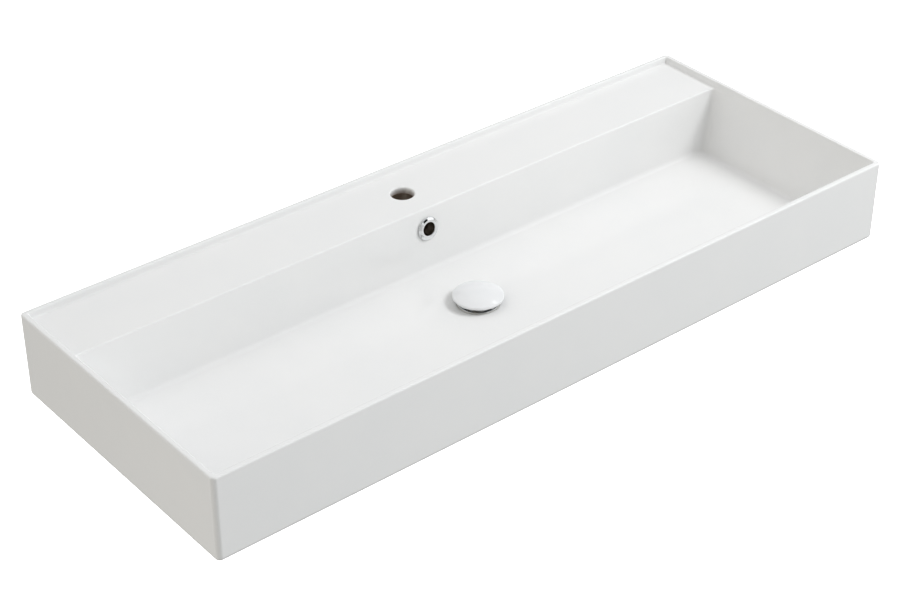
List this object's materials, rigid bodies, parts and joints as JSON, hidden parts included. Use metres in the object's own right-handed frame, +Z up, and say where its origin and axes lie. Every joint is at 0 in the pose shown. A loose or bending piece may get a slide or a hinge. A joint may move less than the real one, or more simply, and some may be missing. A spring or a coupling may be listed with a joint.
{
  "type": "washbasin",
  "caption": "Long rectangular wall-hung ceramic washbasin with a thin rim, a recessed tap ledge, an overflow and a push-to-close waste under a domed cap.",
  "frame": {"origin": "midway between the two wall fixing holes, on the back face that meets the wall", "axes": "+X along the basin, +Y out of the back into the wall, +Z up; the user stands on the -Y side"},
  "size_m": [1.2, 0.46, 0.184],
  "materials": {
    "ceramic": "white glaze, gloss; bare foot and hollow underside",
    "chrome": "bright chrome plate on brass",
    "brass": "turned, bare",
    "steel": "drawn stainless",
    "rubber": "matt black",
    "plastic": "moulded, off-white"
  },
  "bodies": {
    "basin": {"basin_body": "ceramic", "overflow_ring": "chrome", "overflow_ring_seal": "rubber", "waste_body": "chrome", "top_gasket": "plastic", "bottom_gasket": "rubber", "slip_washer": "plastic", "back_nut": "brass", "latch_housing": "plastic", "latch_cap": "plastic", "housing_washer": "plastic", "latch_track": "plastic", "plunger_spring": "steel"},
    "plug": {"waste_cap": "ceramic", "cap_insert": "brass", "cap_cushion": "rubber", "plug_plate": "chrome", "plug_seal": "rubber", "plug_lock_nut": "brass", "plunger": "steel"},
    "rotor": {"latch_rotor": "plastic"}
  },
  "joints": [
    {"name": "plug_slide", "type": "slide", "parent": "basin", "child": "plug", "axis": [0, 0, 1], "range_m": [-0.0075, 0], "deforming": ["plunger_spring"]},
    {"name": "rotor_turn", "type": "hinge", "parent": "plug", "child": "rotor", "pos_m": [0, -0.239, -0.0915], "axis": [0, 0, 1], "range_deg": [0, 46]}
  ],
  "couplings": [
    {"joint": "rotor_turn", "follows": "plug_slide", "rad_per_m": -104.72}
  ]
}
